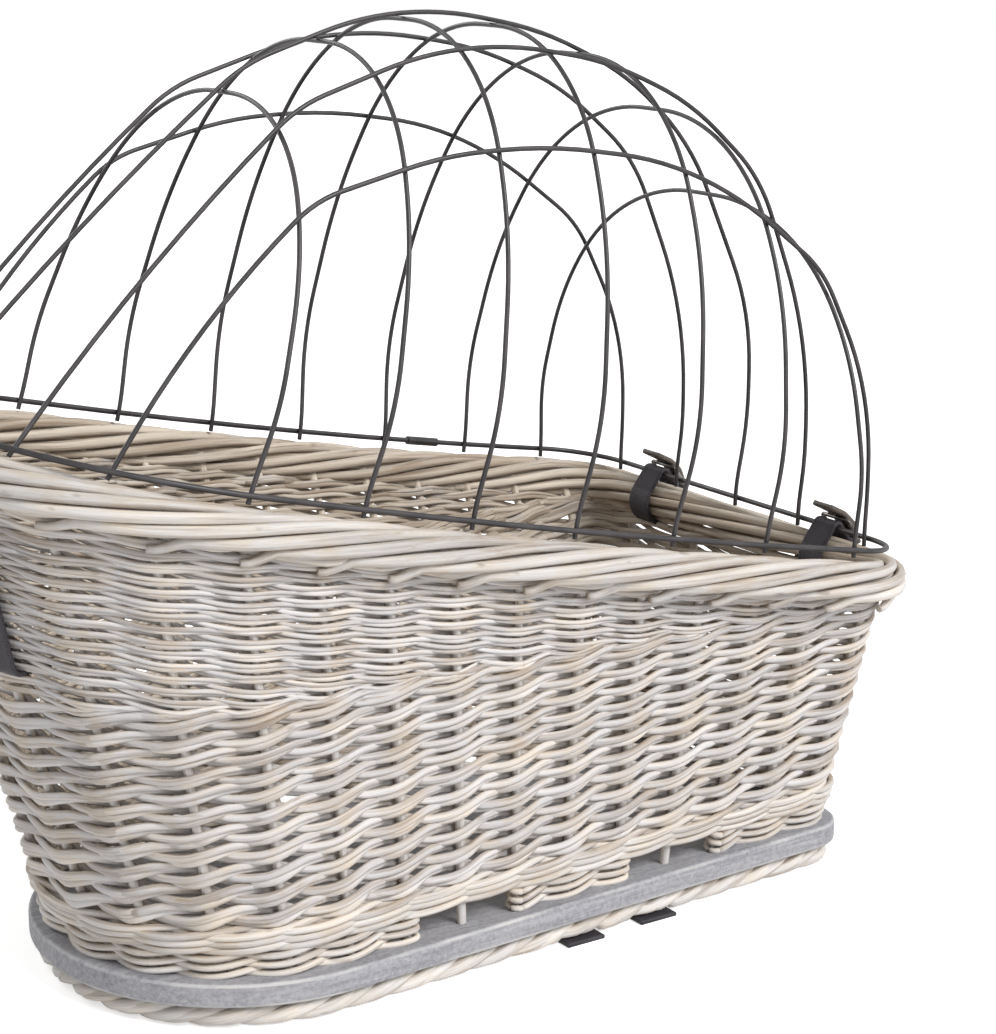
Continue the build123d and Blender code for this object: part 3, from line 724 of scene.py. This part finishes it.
def make_wale():
    """Two rows of three-rod wale: each rod passes two stakes outside and one inside."""
    rods = Rods()
    height = wale_top - block_top
    for level in wale_level_shares:
        for rod in range(wale_rods):
            start = wale_seam - stakes_round - 0.5 + rod
            stake = np.arange(start, start + stakes_round + wale_overlap, stake_sample)
            turn = 2 * math.pi * (stake - 1 - rod) / wale_rods
            depth = wale_offset + wale_swing * np.cos(turn)
            lift = wale_climb * np.sin(turn) + wander(stake, 1.0, wale_drift)
            point, out = wall.place(stake, np.full_like(stake, block_top + level * height))
            centre = point + out * depth[:, None]
            centre[:, 2] += lift
            radius = wale_rod_r * (1 + wander(stake, 2.0, wale_girth_drift))
            rods.add(centre, radius, out, rng.uniform(0, 1))
    return rods.build("willow_wale", willow_base, "basket", ["wale_band"])


block_rows = 3
block_rod_r = 1.75
block_swing = 4.3
block_climb = 1.3
block_offset = 2.0
block_drift = 0.15
block_turn_samples = 9
block_spans = (("base_weave_tall_end", -5.5, 5.5), ("base_weave_near", 7.5, 9.5),
               ("base_weave_low_end", 11.5, 20.5), ("base_weave_far", 22.5, 24.5))


def make_block(name, first, last):
    """Rows of pairing, each one rod that turns back round the end stakes of the block."""
    rods = Rods()
    pitch = (block_top - plate_top) / block_rows
    turn_reach = block_swing / stake_pitch
    turned_back = np.linspace(0, math.pi, block_turn_samples)[1:-1]
    run = np.arange(first, last + stake_sample / 2, stake_sample)
    phase = math.pi * (run - first)
    end_side = math.cos(phase[-1])
    for row in range(block_rows):
        reach = turn_reach * np.sin(turned_back)
        stake = np.concatenate([run, run[-1] + reach, run[::-1], run[0] - reach])
        depth = np.concatenate([np.cos(phase), end_side * np.cos(turned_back),
                                -np.cos(phase[::-1]), -np.cos(turned_back)])
        level = np.zeros(len(turned_back))
        lift = np.concatenate([np.sin(phase), level, -np.sin(phase[::-1]), level])
        middle = plate_top + pitch * (row + 0.5)
        drift = wander(np.arange(len(stake)) * stake_sample, 1.0, block_drift)
        height = middle + block_climb * lift + drift
        point, out = wall.place(stake, height)
        centre = point + out * (block_offset + block_swing * depth)[:, None]
        rods.add(np.concatenate([centre, centre[:1]]), block_rod_r,
                 np.concatenate([out, out[:1]]), rng.uniform(0.2, 1))
    return rods.build(f"willow_{name}", willow_base, "basket", [name])


def make_blocks():
    for span in block_spans:
        make_block(*span)


# Rolled rim: each stake's end comes out below the rim and winds once round it

rim_turn_stakes = 8
rim_rod_r = 3.3
rim_tip_r = 2.5
rim_start_angle = math.radians(-78)
rim_core_r = 5.6
rim_core_tint = 0.1
rim_sides = 8
rim_turn_drift = 0.05
rim_spread = 0.05
rim_girth_drift = 0.03
rim_reach_drift = 0.15
rim_foot_share = 0.65
rim_foot_stakes = 0.5
rim_tuck_depth = 3.5
rim_tuck_share = 0.06
knee_reach = 4.5
knee_drop = 3.5
knee_stakes = 0.45


def make_rim():
    """A core under one rod per stake, which starts as a knee and dives in at its tip."""
    rods = Rods(rim_sides)
    core = np.arange(0, stakes_round + stake_sample, stake_sample)
    centre, normal = wall.rim_place(core)
    rods.add(centre, rim_core_r, normal, rim_core_tint)
    for index in range(stakes_round):
        length = rim_turn_stakes + rng.uniform(-0.2, 0.6)
        stake = np.arange(0, length, stake_sample)
        share = stake / length
        angle = rim_start_angle + 2 * math.pi * stake / rim_turn_stakes
        angle = angle + wander(stake, 2.0, rim_turn_drift)
        radius = rim_rod_r + (rim_tip_r - rim_rod_r) * share
        radius = radius * rng.normal(1, rim_spread) * (1 + wander(stake, 1.5, rim_girth_drift))
        swell = rim_foot_share + (1 - rim_foot_share) * ease(stake / rim_foot_stakes)
        radius = radius * swell
        reach = rim_r - radius + wander(stake, 2.0, rim_reach_drift)
        tucked = ease((share - 1 + rim_tuck_share) / rim_tuck_share)
        reach = reach - rim_tuck_depth * tucked
        centre, normal = wall.rim_place(stake + index + 0.5)
        around = (normal * np.cos(angle)[:, None] * reach[:, None]
                  + np.array([0, 0, 1]) * (np.sin(angle) * reach)[:, None])
        start = normal * (knee_reach - wall_top_inset) + np.array([0, 0, -rim_r - knee_drop])
        emerge = ease(stake / knee_stakes)[:, None]
        rods.add(centre + start * (1 - emerge) + around * emerge, radius, normal,
                 rng.uniform(0, 1))
    return rods.build("willow_rim", willow_base, "basket", ["rim_border"])


# Twisted border under the plate

foot_inset = 4
foot_width = 18
foot_rod_r = 3.4
foot_pair_angle = 0.26
foot_pitch = 78
foot_rods = 3
foot_sample = 3
foot_sides = 9
foot_girth_drift = 0.04
foot_drift_step = 40.0
strap_groove = 2.9
strap_groove_half = 14.5


def make_foot_border():
    """Rope of paired rods that lifts over the rack straps."""
    rods = Rods(foot_sides)
    half = Outline(plate_outline, -foot_inset - foot_width / 2)
    total = 2 * half.length
    turns = round(total / foot_pitch * foot_rods) / foot_rods
    walked = np.arange(0, total + foot_sample, foot_sample)
    far = walked > half.length
    plan, normal = half.at(np.where(far, total - walked, walked))
    plan[far, 1] *= -1
    normal[far, 1] *= -1
    out = np.concatenate([normal, np.zeros((len(walked), 1))], 1)
    swing = foot_width / 2 - foot_rod_r
    lift = foot_height / 2 - foot_rod_r
    near_strap = np.zeros(len(walked), bool)
    for node in ("rack_strap_1", "rack_strap_2"):
        low, high = node_span(node, 0)
        near_strap |= abs(plan[:, 0] - (low + high) / 2) < strap_groove_half
    for rod in range(foot_rods):
        for side in (-foot_pair_angle, foot_pair_angle):
            angle = 2 * math.pi * (walked / total * turns + rod / foot_rods) + side
            drift = wander(walked, foot_drift_step, foot_girth_drift)
            radius = foot_rod_r * (1 + drift)
            height = foot_height / 2 + lift * np.sin(angle)
            lowest = np.where(near_strap, radius + strap_groove, radius)
            height = np.maximum(height, lowest)
            centre = np.concatenate([plan, height[:, None]], 1) + out * (
                swing * np.cos(angle))[:, None]
            rods.add(centre, radius, out, rng.uniform(0.2, 1))
    return rods.build("willow_foot_border", willow_base, "basket",
                      ["foot_border"])


# Webbing

strap_width = 18
strap_thickness = 2.5
strap_end_thickness = 3.2
hinge_strap_y = 80
strap_clearance = 0.3
strap_sample = 1.2
strap_fewest = 8
bend_samples = 9
strap_end_corners = ((17.5, -11), (12.5, 1.5), (6, 7.5), (-5, 13))
strap_end_bends = (8, 10)

# Strap section: distance in from the edge, and height as a share of half the thickness
selvedge = ((0, 0), (0.3, 0.75), (1.2, 1), (2.2, 0.86))
strap_crown_share = 0.88


def rounded_line(corners, radii):
    """Points along straight runs whose inner corners are rounded."""
    corners = [np.array(corner, float) for corner in corners]
    points = [corners[0]]
    for index in range(1, len(corners) - 1):
        corner = corners[index]
        back = unit(corners[index - 1] - corner)
        ahead = unit(corners[index + 1] - corner)
        half_turn = (math.pi - math.acos(float(np.clip(back @ ahead, -1, 1)))) / 2
        reach = radii[index - 1] * math.tan(half_turn)
        for share in np.linspace(0, 1, bend_samples):
            points.append(corner + back * reach * (1 - share)**2 + ahead * reach * share**2)
    points.append(corners[-1])
    return np.array(points)


def resampled(points):
    """The same line as evenly spaced points."""
    lengths = distances(points)
    count = max(strap_fewest, int(lengths[-1] / strap_sample))
    at = np.linspace(0, lengths[-1], count)
    return np.stack([np.interp(at, lengths, points[:, i]) for i in (0, 1)], -1)


def webbing(name, line, width, thickness, place, material, body, nodes, closed=False):
    """Strap of a rounded flat section along a line in its own upright plane."""
    points = resampled(line)
    count = len(points)
    if closed:
        along = np.roll(points, -1, 0) - np.roll(points, 1, 0)
    else:
        along = np.gradient(points, axis=0)
    along = unit(along)
    out = np.stack([-along[:, 1], along[:, 0]], -1)
    section = strap_section(width, thickness)
    shell = []
    coordinates = []
    walked = distances(points)
    for index in range(count):
        for across, lift in section:
            plan = points[index] + out[index] * lift
            shell.append((plan[0], across, plan[1]))
            coordinates.append((walked[index], across, lift))
    sides = len(section)
    rows = count if closed else count - 1
    faces = []
    for row in range(rows):
        for side in range(sides):
            ahead = (side + 1) % sides
            following = (row + 1) % count
            faces.append((row * sides + side, row * sides + ahead,
                          following * sides + ahead, following * sides + side))
    if not closed:
        faces.append(tuple(range(sides))[::-1])
        faces.append(tuple((count - 1) * sides + side for side in range(sides)))
    points = place(np.array(shell)) * MM
    piece = make_piece(name, points, faces, material, body, nodes)
    add_attribute(piece, "rod", np.array(coordinates) * MM)
    return piece


def strap_section(width, thickness):
    """Flat section with soft edges and a slightly raised selvedge."""
    half = width / 2
    edge = thickness / 2
    near = [(half - inset, edge * share) for inset, share in selvedge]
    far = [(-half + inset, edge * share) for inset, share in selvedge[::-1]]
    top = near + [(0, edge * strap_crown_share)] + far
    bottom = [(across, -lift) for across, lift in top[-2:0:-1]]
    return top + bottom


def turned(origin, angle):
    """Places points of a strap's plane: x runs outwards at the angle, y across it."""
    c = math.cos(angle)
    s = math.sin(angle)

    def place(points):
        x, y, z = points.T
        return np.stack([origin[0] + x * c - y * s, origin[1] + x * s + y * c,
                         origin[2] + z], -1)
    return place


def arc_points(centre, radius, start, end, count=14):
    angles = np.radians(np.linspace(start, end, count))
    return [(centre[0] + radius * math.cos(a), centre[1] + radius * math.sin(a))
            for a in angles]


def hinge_loop():
    """Closed loop round the ring wire above and the rim below."""
    grow = strap_clearance + strap_thickness / 2
    small = ring_wire_r + grow
    large = rim_r + grow
    tilt = math.degrees(math.asin((large - small) / rim_drop))
    over = arc_points((0, 0), small, 180 - tilt, tilt)
    under = arc_points((0, -rim_drop), large, tilt, -180 - tilt, 40)
    return np.array(over + under + over[:1])


def make_hinges():
    for name, side in (("near", -1), ("far", 1)):
        place = turned((ring_half_length, side * hinge_strap_y, ring_low_z), 0)
        webbing(f"hinge_webbing_{name}", hinge_loop()[:-1], strap_width, strap_thickness,
                place, black_web, "basket", [f"hinge_strap_{name}"], closed=True)
        make_strap_end(name, place)


def make_strap_end(name, place):
    """Free end of the hinge strap: out of the buckle and up over the ring."""
    line = rounded_line(strap_end_corners, strap_end_bends)
    webbing(f"hinge_strap_end_{name}", line, strap_width - 2, strap_end_thickness, place,
            sealed_web, "basket", [])


# Closure straps on the tall end

closure_y = 45
closure_anchor_drop = 123
closure_gap = 3.2
closure_buckle_drop = 62
closure_inside = 4
wall_thickness = 12
wall_foot_inset = 4
wall_top_proud = 2
tab_drop = 34
tab_stand_off = 3.1
tab_clearance = 0.9
strap_bend_r = 6


def closure_place(side):
    """Point of the ring above a closure strap, and the angle of the way outwards."""
    tall, low, half_tall, half_low, radius = ring_outline[:5]
    centre_x = radius - tall
    half = half_low + (half_tall - half_low) * (low - centre_x) / (low + tall)
    angle = math.asin((closure_y - half + radius) / radius)
    x = centre_x - radius * math.cos(angle)
    return (x, side * closure_y, ring_height(x)), math.pi - side * angle


def closure_line(height):
    """The strap's line, from inside the wall out and up; height is the ring's."""
    share = (height - closure_anchor_drop - wale_top) / (height - wale_top)
    lean = ring_half_length - plate_outline[0] + wall_foot_inset
    anchor = (-lean * (1 - share) + wall_top_proud, -closure_anchor_drop)
    slope = anchor[0] / anchor[1]
    corner = (anchor[0] + closure_gap + 1.5 * strap_thickness, anchor[1])
    top = (corner[0] + slope * (-closure_buckle_drop - anchor[1]), -closure_buckle_drop)
    inside = (anchor[0] - wall_thickness - closure_inside, anchor[1])
    return rounded_line([inside, corner, top], [strap_bend_r])


def tab_line():
    """The tab's line, round the ring and down outside the rim."""
    small = ring_wire_r + tab_clearance + strap_thickness / 2
    out = rim_r + tab_stand_off + strap_thickness / 2
    corners = [(-small, -small), (-small, small), (2 * small, small), (out, -rim_drop / 2),
               (out + tab_stand_off, -tab_drop)]
    return rounded_line(corners, [small, strap_bend_r, strap_bend_r])


def make_closures():
    for name, side in (("near", -1), ("far", 1)):
        origin, angle = closure_place(side)
        place = turned(origin, angle)
        webbing(f"closure_webbing_{name}", closure_line(origin[2]), strap_width,
                strap_thickness, place, black_web, "basket",
                [f"closure_strap_{name}"])
        webbing(f"guard_tab_webbing_{name}", tab_line(), strap_width, strap_thickness,
                place, black_web, "guard", [f"guard_tab_{name}"])


def make_rack_straps():
    for node in ("rack_strap_1", "rack_strap_2"):
        low, high = node_span(node, 0)
        left, right = node_span(node, 1)
        bottom, top = node_span(node, 2)
        middle = (bottom + top) / 2
        line = np.array([(left, middle), (0, middle), (right, middle)])
        place = turned(((low + high) / 2, 0, 0), math.pi / 2)
        webbing(f"webbing_{node}", line, high - low, top - bottom, place, black_web,
                "basket", [node])


# Carried-over CAD nodes


def dress_frame():
    """Gives the CAD nodes that stay their materials and smooth shading."""
    finishes = {"base_plate": wood}
    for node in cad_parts:
        if node.startswith(("cross_arch", "runner", "guard_ring", "ring_sleeve")):
            finishes[node] = wire
        if "buckle" in node or "prong" in node:
            finishes[node] = metal
    for node, material in finishes.items():
        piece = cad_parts[node]
        piece.data.materials.clear()
        piece.data.materials.append(material)
        piece.data.polygons.foreach_set("use_smooth", [True] * len(piece.data.polygons))


# Camera, light and floor

image_height = 1034
camera_place = (-701.13, -1148.58, 569.82)
camera_yaw = 0.59924
camera_pitch = 0.25006
camera_roll = -0.00227
focal_pixels = 2571.8
camera_near = 0.05
sensor = 36

# Suns: name, side they shine from, spread in degrees, power
suns = (("key", (0.3, -1.0, 0.85), 25, 3.1), ("front", (-0.5, -1.0, 0.15), 40, 0.5),
        ("back", (-0.3, 1.0, 0.55), 40, 1.3))
world_power = 0.3
floor_half = 6
floor_grey = 0.8
floor_roughness = 0.9
floor_glow = 0.6


def make_camera():
    """The photograph's view; yaw turns from +Y towards +X, pitch looks down."""
    data = bpy.data.cameras.new("camera")
    data.sensor_width = sensor
    data.sensor_fit = "AUTO"
    data.lens = focal_pixels * sensor / image_height
    data.clip_start = camera_near
    camera = bpy.data.objects.new("camera", data)
    bpy.context.scene.collection.objects.link(camera)
    camera.location = Vector(camera_place) * MM
    camera.rotation_mode = "XYZ"
    camera.rotation_euler = (math.pi / 2 - camera_pitch, camera_roll, -camera_yaw)
    bpy.context.scene.camera = camera


def soft_sun(name, side, spread, power):
    """Even light from one side, as wide as a large softbox."""
    data = bpy.data.lights.new(name, "SUN")
    data.energy = power
    data.angle = math.radians(spread)
    light = bpy.data.objects.new(name, data)
    bpy.context.scene.collection.objects.link(light)
    light.rotation_euler = Vector(side).to_track_quat("Z", "Y").to_euler()


def camera_or_mirror_ray(tree):
    """1 where the ray comes from the camera, a mirror or a clear body."""
    rays = tree.nodes.new("ShaderNodeLightPath").outputs
    total = rays["Is Camera Ray"]
    for name in ("Is Glossy Ray", "Is Transmission Ray"):
        add = tree.nodes.new("ShaderNodeMath")
        add.operation = "MAXIMUM"
        tree.links.new(total, add.inputs[0])
        tree.links.new(rays[name], add.inputs[1])
        total = add.outputs[0]
    return total


def make_world():
    world = bpy.data.worlds.new("studio")
    bpy.context.scene.world = world
    world.use_nodes = True
    tree = world.node_tree
    background = tree.nodes["Background"]
    strength = tree.nodes.new("ShaderNodeMapRange")
    strength.inputs["To Min"].default_value = world_power
    strength.inputs["To Max"].default_value = 1.0
    tree.links.new(camera_or_mirror_ray(tree), strength.inputs["Value"])
    tree.links.new(strength.outputs[0], background.inputs["Strength"])
    background.inputs["Color"].default_value = (1, 1, 1, 1)


def make_floor():
    """Pale floor that shows as white to the camera but keeps the basket's shadow."""
    half = floor_half
    points = [(-half, -half, 0), (half, -half, 0), (half, half, 0), (-half, half, 0)]
    mesh = bpy.data.meshes.new("floor")
    mesh.from_pydata(points, [], [(0, 1, 2, 3)])
    floor = bpy.data.objects.new("floor", mesh)
    bpy.context.scene.collection.objects.link(floor)
    material = bpy.data.materials.new("floor")
    material.use_nodes = True
    tree = material.node_tree
    bsdf = tree.nodes["Principled BSDF"]
    bsdf.inputs["Base Color"].default_value = (floor_grey, floor_grey, floor_grey, 1)
    bsdf.inputs["Roughness"].default_value = floor_roughness
    bsdf.inputs["Specular IOR Level"].default_value = 0.0
    glow = tree.nodes.new("ShaderNodeMath")
    glow.operation = "MULTIPLY"
    glow.inputs[1].default_value = floor_glow
    tree.links.new(camera_or_mirror_ray(tree), glow.inputs[0])
    bsdf.inputs["Emission Color"].default_value = (1, 1, 1, 1)
    tree.links.new(glow.outputs[0], bsdf.inputs["Emission Strength"])
    floor.data.materials.append(material)


make_camera()
make_wall()
make_stakes()
make_wale()
make_blocks()
make_rim()
make_foot_border()
make_hinges()
make_closures()
make_rack_straps()
dress_frame()
make_world()
make_floor()
for sun in suns:
    soft_sun(*sun)
bpy.context.scene.view_settings.view_transform = "Standard"
